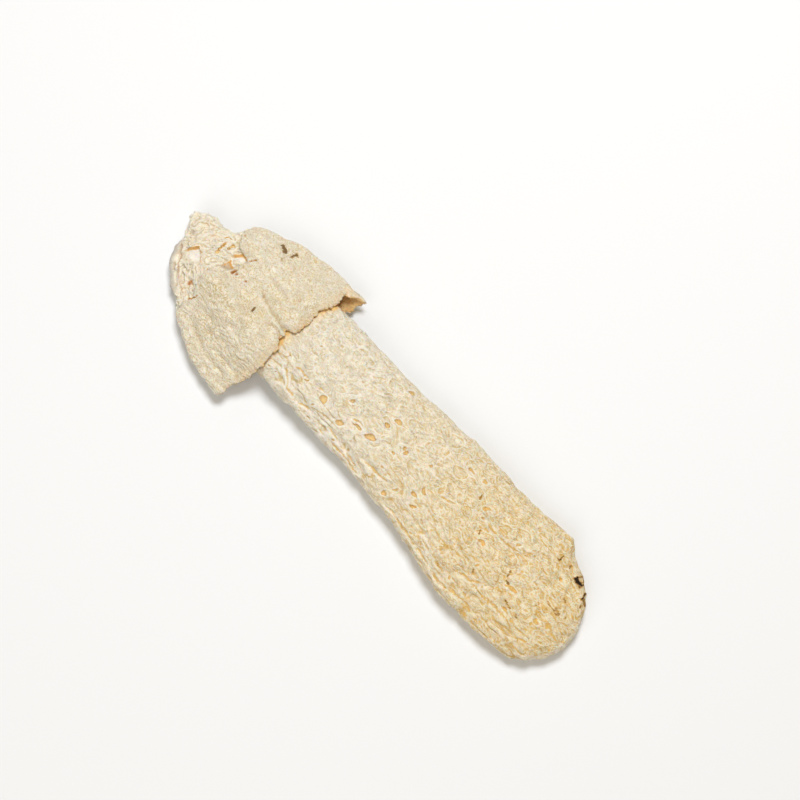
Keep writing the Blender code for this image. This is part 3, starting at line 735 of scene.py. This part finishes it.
# The cap.
cap = {
    "voxel": 0.34 * mm,
    "softening": 3,
    # share of the way to a blurred skin, and the blur's steps
    "calming": (0.8, 10),
    # how high the folds at its sides lie
    "foldHeight": 5.4,
    "netCell": 1.35,
    "netHeight": 0.03,
    # the felt's streaks: size, stretch, level lines, offset
    "streak": (2.6, 5.0, 3.4, 8.0),
    "streakHeight": 0.34,
    # dimples and bumps: size, stretch, offset, height
    "bumps": [(5.5, 1.3, 15.0, 0.4), (1.7, 1.4, 25.0, 0.16), (0.8, 1.2, 35.0, 0.1)],
    # the collar's edge: (across, along)
    "collarEdge": [
        (-18, 16.5), (-16, 18.0), (-13, 15.5), (-9, 14.5), (-5, 15.0), (-1.5, 16.8), (0.5, 19.8), (2.5, 20.5),
        (4.5, 21.5), (5.5, 16.0), (7, 14.5), (9, 13.0), (12, 12.0),
    ],
    # the collar's lacy layers: size, stretch, level lines, offset, and height in mm
    "collarLayers": [(2.6, 2.6, 2.4, 18.0, 0.8), (1.4, 2.2, 1.6, 28.0, 0.35)],
    # which way they run, in degrees, on the upper and the lower part
    "collarTurns": (48.0, -46.0),
    # how far the felt's edge stands above the collar
    "feltStep": 0.4,
    # slits and tears, and wider creases: corners, width, depth
    "slits": [
        ([(11.5, 3.6), (11.8, 1.0), (12.0, -1.2)], 0.24, 0.7),
        ([(14.6, 4.7), (13.9, 4.6), (13.8, 2.4)], 0.3, 0.7),
        ([(10.2, 4.2), (10.6, 5.8)], 0.15, 0.5),
        ([(10.8, 5.9), (12.2, 5.7)], 0.12, 0.4),
        ([(21.6, 4.8), (22.8, 7.0)], 0.2, 0.6),
        ([(21.1, 0.1), (20.8, -1.4)], 0.3, 0.9),
        ([(22.4, -0.4), (22.2, -0.8)], 0.25, 0.8),
        ([(25.6, -0.1), (26.1, -0.2)], 0.2, 0.6),
        ([(14.4, -5.6), (14.6, -7.0), (14.5, -8.0), (15.1, -10.2)], 0.16, 0.4),
        ([(15.4, -15.6), (16.8, -16.6), (18.2, -15.0), (18.4, -13.4)], 0.2, 0.5),
    ],
    "creases": [
        ([(30.0, 2.0), (33.0, 1.0), (38.0, 0.0), (43.0, -0.8), (46.5, -1.0), (49.0, -0.6)], 0.5, 0.45),
        ([(40.5, -4.5), (42.0, -3.0), (44.0, -2.5), (46.5, -3.5), (47.5, -4.2)], 0.45, 0.4),
        ([(19.0, -11.0), (27.0, -13.0), (36.0, -12.6)], 0.6, 0.25),
        ([(22.0, -20.0), (32.0, -23.4), (44.0, -24.6)], 0.7, 0.35),
        ([(24.0, 8.6), (32.0, 6.4), (42.0, 5.2)], 0.6, 0.25),
        ([(20.0, 10.4), (27.0, 12.6), (36.0, 12.2)], 0.6, 0.2),
    ],
    # torn pockets: two upper edges through three corners, reach, depth, how tan inside, width of each rim
    "pockets": [
        ([(4.2, -7.2), (6.9, -3.1), (9.4, -5.0)], 7.0, 0.75, 0.0, (0.8, 0.25)),
        ([(16.0, -4.0), (17.0, 0.8), (20.4, 0.3)], 4.6, 0.7, 1.0, (0.15, 0.45)),
        ([(16.2, 2.6), (18.3, 4.9), (21.8, 4.7)], 3.6, 0.7, 0.0, (0.5, 0.4)),
    ],
    # lower skin that shows below the tip's edge: its middle and reach, its top and how far out it stands
    "skirt": {"middle": 6.0, "reach": 8.0, "top": 5.6, "out": 1.8},
    # shaded, grainy hollows in the felt: middle, reach along and across, strength
    "shades": [
        ((22.5, -9.3), (9.0, 2.6), 0.7), ((32.0, -10.6), (7.0, 2.0), 0.45), ((43.5, -2.6), (4.0, 2.0), 0.5),
        ((46.0, 8.5), (2.5, 6.0), 0.45), ((27.0, 15.5), (4.0, 3.0), 0.35), ((38.0, 3.0), (6.0, 2.0), 0.3),
        ((14.5, 8.0), (3.0, 3.0), 0.3), ((36.0, -22.5), (9.0, 1.5), 0.3),
    ],
    "tipBumpHeight": 0.7,
    # how far the margin runs out over the stipe past its solid (across, reach), and how ragged it is
    "marginReach": [(-4.5, 1.0), (-3.0, 2.0), (-1.0, 2.2), (1.5, 1.0)],
    "marginRags": [(0.8, 1.0, 81.0, 0.7), (1.9, 1.0, 83.0, 0.42), (7.0, 1.0, 85.0, 0.35)],
    "marginFrom": (44.0, 47.5),
    "marginThinning": 0.75,
    # dark and rust-coloured marks: corners, half width, strength
    "stains": [
        ([(23.8, 16.2), (25.0, 16.0), (26.2, 15.6)], 0.55, 0.75), ([(25.4, 15.2), (26.0, 15.0)], 0.35, 0.5),
        ([(28.9, 17.8), (28.5, 15.5)], 0.4, 0.6), ([(28.6, 18.0), (29.8, 17.6)], 0.35, 0.4),
        ([(27.4, 13.1), (27.8, 12.9)], 0.35, 0.35), ([(34.2, -3.6), (34.3, -4.5)], 0.35, 0.9),
        ([(41.0, 8.4), (41.4, 8.0)], 0.3, 0.3),
    ],
    "rust": [
        ([(1.6, -7.2), (3.6, -9.0), (5.6, -11.0), (8.0, -13.6), (11.0, -15.4), (14.0, -16.6)], 0.32, 0.5),
        ([(13.2, -12.8), (13.3, -13.4)], 0.55, 0.9), ([(6.8, -12.8), (7.4, -13.0)], 0.5, 0.6),
        ([(33.0, 1.2), (33.4, 0.9)], 0.4, 0.5), ([(21.6, 2.6), (21.8, 2.2)], 0.4, 0.45),
        ([(46.4, -3.6), (48.2, -4.4)], 0.7, 0.6), ([(22.2, -0.5), (22.3, -1.0)], 0.4, 0.8),
        ([(20.9, -0.2), (20.8, -1.4)], 0.5, 0.8), ([(26.0, 0.0), (26.4, 0.0)], 0.4, 0.7),
        ([(14.3, 9.6), (14.6, 9.2)], 0.4, 0.4), ([(41.6, 8.8), (41.9, 8.3)], 0.35, 0.4),
        ([(2.0, 3.5), (3.3, 3.3)], 0.35, 0.35), ([(1.4, -1.7), (2.5, -1.7)], 0.3, 0.35),
        ([(4.6, 4.6), (5.2, 4.0)], 0.3, 0.3),
    ],
    "pale": (0.92, 0.85, 0.68, 1.0),
    "warm": (0.86, 0.745, 0.51, 1.0),
    "light": (1.0, 0.975, 0.88, 1.0),
    "white": (0.93, 0.91, 0.85, 1.0),
    "deep": (0.58, 0.41, 0.18, 1.0),
    "olive": (0.56, 0.46, 0.24, 1.0),
    "brownGrain": (0.70, 0.53, 0.27, 1.0),
    "collar": (0.90, 0.87, 0.77, 1.0),
    "collarDark": (0.80, 0.71, 0.53, 1.0),
    "tanSkin": (0.66, 0.51, 0.36, 1.0),
    "oliveBrown": (0.28, 0.20, 0.05, 1.0),
    "paintedUnderShade": (0.52, 0.49, 0.45, 1.0),
    "rustColour": (0.46, 0.17, 0.03, 1.0),
    "orange": (0.74, 0.40, 0.10, 1.0),
    "glowingUnderlayer": (0.88, 0.60, 0.28, 1.0),
    "glowingInnerSkin": (0.94, 0.62, 0.28, 1.0),
    "brown": (0.22, 0.12, 0.035, 1.0),
    "grain": {"Grain Size": 0.38, "Fold Size": 1.3, "Fold Width": 0.1, "Stretch": 1.5, "Mottle Size": 9.0},
    "dots": {"Spacing": 2.3, "Radius": 0.2, "Share": 0.3},
    "roughness": (0.8, 0.95),
    "bump": 0.5 * mm,
    "shader": {
        "Specular IOR Level": 0.2, "Sheen Weight": 0.15, "Sheen Roughness": 0.5, "Subsurface Weight": 0.25,
        "Subsurface Scale": 0.6 * mm, "Subsurface Radius": (1.0, 0.55, 0.22),
    },
}


# how far inside a torn pocket's two upper edges each point is, 0 to 1, and how near to those edges
def pocketFields(points, corners, reach, rims):
    left, peak, right = (np.array(corner) for corner in corners)
    inside, torn = np.full(len(points), 1e6), np.zeros(len(points))
    for start, end, rim in ((left, peak, rims[0]), (peak, right, rims[1])):
        edge = (end - start) / np.linalg.norm(end - start)
        inward = (points[:, 0] - start[0]) * edge[1] - (points[:, 1] - start[1]) * edge[0]
        inside = np.minimum(inside, inward)
        torn = np.maximum(torn, 1.0 - smoothStep(inward, rim - 0.1, rim + 0.35))
    away = np.linalg.norm(points[:, :2] - peak, axis=1)
    fading = 1.0 - smoothStep(away, 0.5 * reach, reach)
    return smoothStep(inside, 0.0, 0.55) * fading, torn * smoothStep(inside, -0.25, 0.1) * fading


# True on the hood's inner skin, whose normals look towards its middle
def isInside(points, normals):
    across = 0.25 * (points[:, 1] - 0.3)
    upwards = points[:, 2] - cap["foldHeight"]
    return (normals[:, 1] * across + normals[:, 2] * upwards < 0.0) & (points[:, 0] > 6.0)


def makeCap():
    piece = fineCopy("cap", "capFelt", cap["voxel"], cap["softening"])
    points, normals, edges = calmSkin(piece, *cap["calming"])
    inside = blurred(isInside(points, normals).astype(float)[:, None], edges, 6)[:, 0]
    inside = smoothStep(inside, 0.35, 0.65)
    upper = smoothStep(normals[:, 2], -0.05, 0.2)
    past = points[:, 0] - readAlong(cap["collarEdge"], points[:, 1]) + 0.5 * softNoise(points, 2.0)
    felt = np.where(normals[:, 2] > 0.0, smoothStep(past, -0.3, 0.5), smoothStep(points[:, 0], 10.0, 13.0))
    skirt = cap["skirt"]
    under = 1.0 - smoothStep(np.abs(points[:, 0] - skirt["middle"]), 0.5 * skirt["reach"], skirt["reach"])
    under *= smoothStep(-points[:, 1], 3.0, 6.0)
    lower = under * (1.0 - smoothStep(points[:, 2], skirt["top"] - 0.4, skirt["top"] + 0.4))
    out = skirt["out"] * lower * (1.0 + 0.4 * softNoise(points, 2.5, 1.0, 65.0))
    points = points + np.stack([-0.6 * out, -0.8 * out, np.zeros(len(points))], axis=1)
    wandering = bent(points, 4.0, 0.9, 70.0)
    net = cellWalls(wandering, cap["netCell"], 1.15, 0.03, 0.45)
    height = cap["netHeight"] * (net - 0.4) * felt
    lowSide = 0.12 + 0.88 * smoothStep(-points[:, 1], 6.0, 13.0)
    height += cap["streakHeight"] * lowSide * felt * (levelRidges(wandering, *cap["streak"]) - 0.5)
    height += addedNoise(points, cap["bumps"])
    lace = bent(points, 2.5, 0.8, 72.0)
    upperPart = smoothStep(points[:, 1], -9.0, -5.0)
    for *shape, high in cap["collarLayers"]:
        first, second = (layers(turned(lace, turn), *shape) for turn in cap["collarTurns"])
        height += high * (1.0 - felt) * (between(second, first, upperPart) - 0.55)
    height += cap["feltStep"] * (felt - 1.0)
    knob = 1.0 - smoothStep(points[:, 0], 2.0, 8.0)
    height += cap["tipBumpHeight"] * knob * softNoise(points, 2.2, 1.0, 45.0)
    slit = np.full(len(points), 2.0)
    uneven = 1.0 + 0.7 * softNoise(points, 0.8, 1.0, 53.0)
    lined = points + 0.3 * softNoise(points, 1.6, 1.0, 52.0)[:, None]
    for corners, width, depth in cap["slits"]:
        away, taper = readLine(lined, corners)
        slit = np.minimum(slit, away - width * taper * uneven + 2.0 * (1.0 - upper))
        height -= upper * depth * taper * (bell(away, 1.3 * width) - 0.25 * bell(away - 2.8 * width, width))
    creased = np.full(len(points), 3.0)
    lined = points + 0.4 * softNoise(points, 2.2, 1.0, 55.0)[:, None]
    for corners, width, depth in cap["creases"]:
        away, taper = readLine(lined, corners)
        creased = np.minimum(creased, away + 1.5 * (1.0 - depth * upper * taper))
        height -= upper * taper * depth * (bell(away, width) - 0.35 * bell(away - 2.2 * width, width))
    height *= 1.0 - 0.8 * lower
    height -= 0.45 * under * bell(points[:, 2] - skirt["top"], 0.5)
    height = np.maximum(height, -1.0)
    shade = np.zeros(len(points))
    for middle, reach, strength in cap["shades"]:
        away = np.linalg.norm((wandering[:, :2] - middle) / reach, axis=1)
        shade = np.maximum(shade, strength * upper * (1.0 - smoothStep(away, 0.3, 1.2)))
    white, tan, torn = np.zeros((3, len(points)))
    ragged = points + 0.5 * softNoise(points, 1.2, 1.0, 57.0)[:, None]
    for corners, reach, depth, tanShare, rims in cap["pockets"]:
        within, border = pocketFields(ragged, corners, reach, rims)
        height = height * (1.0 - 0.7 * within) - depth * within * upper
        white = np.maximum(white, (1.0 - tanShare) * within * upper)
        tan, torn = np.maximum(tan, tanShare * within * upper), np.maximum(torn, border * upper)
    height *= 1.0 - inside
    height += inside * 0.12 * softNoise(points, 2.0, 3.0, 75.0)
    edge = smoothStep(points[:, 0], *cap["marginFrom"])
    reach = edge * (readAlong(cap["marginReach"], points[:, 1]) + addedNoise(points, cap["marginRags"]))
    points = points + np.stack([reach, np.zeros(len(points)), -cap["marginThinning"] * edge * upper], axis=1)
    raiseSkin(piece, points, normals, height)
    print("cap: points", len(points))
    return finishPiece(piece, makeFeltMaterial(), {
        "felt": felt, "inside": inside, "torn": torn, "slit": slit, "crease": creased, "lower": lower,
        "shade": shade, "pocket": white, "tan": tan,
        "rim": smoothStep(points[:, 0], 45.2, 47.8) * (1.0 - inside),
        "stain": markField(points, normals, cap["stains"]),
        "rust": markField(points, normals, cap["rust"]),
    })


def makeFeltMaterial():
    material, tree, grain, dots = startMaterial("driedFelt", cap)
    fine, felt, shade = grain["Grain"], field(tree, "felt"), field(tree, "shade")
    wobble = calculate(tree, "SUBTRACT", fine, 0.5)
    grainColour = mixColours(tree, shade, cap["brownGrain"], cap["olive"])
    collarColour = mixColours(tree, inRange(tree, fine, 0.46, 0.56), cap["collarDark"], cap["collar"])
    feltEdge = times(tree, fine, 0.8, calculate(tree, "SUBTRACT", felt, 0.4))
    depthForPaintedShade = times(tree, field(tree, "dip"), 0.4, field(tree, "hollow"))
    slit = times(tree, wobble, 0.5, field(tree, "slit"))
    crease = times(tree, wobble, 1.2, field(tree, "crease"))
    stain = times(tree, wobble, 0.9, field(tree, "stain"))
    colour = mixColours(tree, inRange(tree, grain["Mottle"], 0.38, 0.68), cap["pale"], cap["warm"])
    colour = paintOver(tree, colour, [
        (inRange(tree, fine, 0.5, 0.57, 0.9), cap["light"]),
        (inRange(tree, times(tree, shade, -0.09, fine), 0.465, 0.42, 0.75), grainColour),
        # painted shade in the grain's fine creases, partly the skin's darker colour
        (times(tree, grain["Valley Shade"], 0.3), cap["deep"]),
        (calculate(tree, "SUBTRACT", 1.0, felt), collarColour),
        (onLine(tree, feltEdge, 0.3, 0.22, 0.45), cap["deep"]),
        # painted shade in hollows and painted highlight on bumps, from how deep the skin lies under its
        # surroundings
        (inRange(tree, depthForPaintedShade, 0.03, 0.22, 0.5), cap["deep"]),
        (inRange(tree, depthForPaintedShade, -0.02, -0.15, 0.5), cap["light"]),
        # the margin's own orange, painted brighter as light shining through the thin skin
        (times(tree, field(tree, "rim"), 0.3), cap["glowingUnderlayer"]),
        (inRange(tree, field(tree, "pocket"), 0.3, 0.9, 0.8), cap["white"]),
        (inRange(tree, field(tree, "tan"), 0.2, 0.9, 0.9), cap["tanSkin"]),
        (inRange(tree, field(tree, "torn"), 0.25, 0.7, 0.9), cap["orange"]),
        (onLine(tree, slit, 0.5, 0.45, 0.3), cap["white"]),
        (inRange(tree, slit, 0.12, -0.02, 0.9), cap["orange"]),
        (inRange(tree, slit, -0.02, -0.18, 0.7), cap["oliveBrown"]),
        # painted shade in each crease, partly the skin's darker colour
        (inRange(tree, crease, 0.95, 0.7, 0.6), cap["deep"]),
        # painted shade: the lower skin that shows below the tip's edge is greyed as if in shadow
        (inRange(tree, field(tree, "lower"), 0.2, 0.8, 0.85), cap["paintedUnderShade"]),
        # the hood's inner skin: its own orange, painted bright as light shining through the skin in shade
        (field(tree, "inside"), cap["glowingInnerSkin"]),
        (times(tree, dots, 0.75), cap["deep"]),
        (field(tree, "rust"), cap["rustColour"]),
        (inRange(tree, stain, 0.05, 0.3, 0.5), cap["deep"]),
        (inRange(tree, stain, 0.25, 0.5, 0.95), cap["brown"]),
    ])
    pebbled = times(tree, grain["Pebbles"], 0.4, fine)
    lacy = times(tree, grain["Height"], times(tree, felt, -0.3, 0.5))
    joinShader(tree, cap, colour, fine, times(tree, pebbled, felt, lacy))
    return material


stipePiece, capPiece = makeStipe(), makeCap()
for piece, node, slot in ((stipePiece, "stipe", "stipe_sponge"), (capPiece, "cap", "cap_felt")):
    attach(piece, "root")
    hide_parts(node)
print("both pieces are dressed")


# The table, the lights and the camera.
studio = {
    "tableSize": 3.0,
    "table": {"Base Color": (0.88, 0.91, 0.955, 1.0), "Roughness": 0.9, "Specular IOR Level": 0.1},
    "sky": {"Color": (1.0, 0.83, 0.58, 1.0), "Strength": 0.28},
    # each light's place to picture-right, picture-up and above the body, its size and power
    "lights": [("overhead", (0.12, 0.4, 0.95), 0.36, 7.6), ("fill", (-0.39, -0.61, 0.8), 1.0, 3.6)],
    "azimuth": 48.75,
    "elevation": 81.0,
    "aim": (-1.38, 14.67, 6.0),
    "distance": 585.1,
    "lens": 85.0,
}


def makeStudio():
    bm = bmesh.new()
    bmesh.ops.create_grid(bm, x_segments=1, y_segments=1, size=studio["tableSize"] / 2.0)
    mesh = bpy.data.meshes.new("table")
    bm.to_mesh(mesh)
    bm.free()
    table = putObject("table", mesh)
    material = bpy.data.materials.new("paleTable")
    material.use_nodes = True
    feed(material.node_tree, material.node_tree.nodes["Principled BSDF"], studio["table"])
    mesh.materials.append(material)
    world = bpy.data.worlds.new("softWhite")
    world.use_nodes = True
    feed(world.node_tree, world.node_tree.nodes["Background"], studio["sky"])
    bpy.context.scene.world = world


# the camera's right, up and forward directions
def cameraAxes():
    turn, rise = math.radians(studio["azimuth"]), math.radians(studio["elevation"])
    forward = Vector((-math.sin(turn) * math.cos(rise), math.cos(turn) * math.cos(rise), -math.sin(rise)))
    right = Vector((math.cos(turn), math.sin(turn), 0.0))
    return right, right.cross(forward), forward


def makeLightsAndCamera():
    right, up, forward = cameraAxes()
    flatUp = Vector((up.x, up.y, 0.0)).normalized()
    for name, (aside, ahead, high), size, power in studio["lights"]:
        lamp = bpy.data.lights.new(name, "AREA")
        lamp.shape = "DISK"
        lamp.size = size
        lamp.energy = power
        light = putObject(name, lamp)
        light.location = right * aside + flatUp * ahead + Vector((0.0, 0.0, high))
        light.rotation_euler = (-light.location).to_track_quat("-Z", "Y").to_euler()
    lens = bpy.data.cameras.new("camera")
    lens.lens = studio["lens"]
    lens.clip_start = 0.01
    camera = putObject("camera", lens)
    camera.matrix_world = Matrix((right, up, -forward)).transposed().to_4x4()
    camera.location = Vector(studio["aim"]) * mm - forward * studio["distance"] * mm
    bpy.context.scene.camera = camera
    bpy.context.scene.view_settings.view_transform = "Standard"


makeStudio()
makeLightsAndCamera()
print("studio is set")
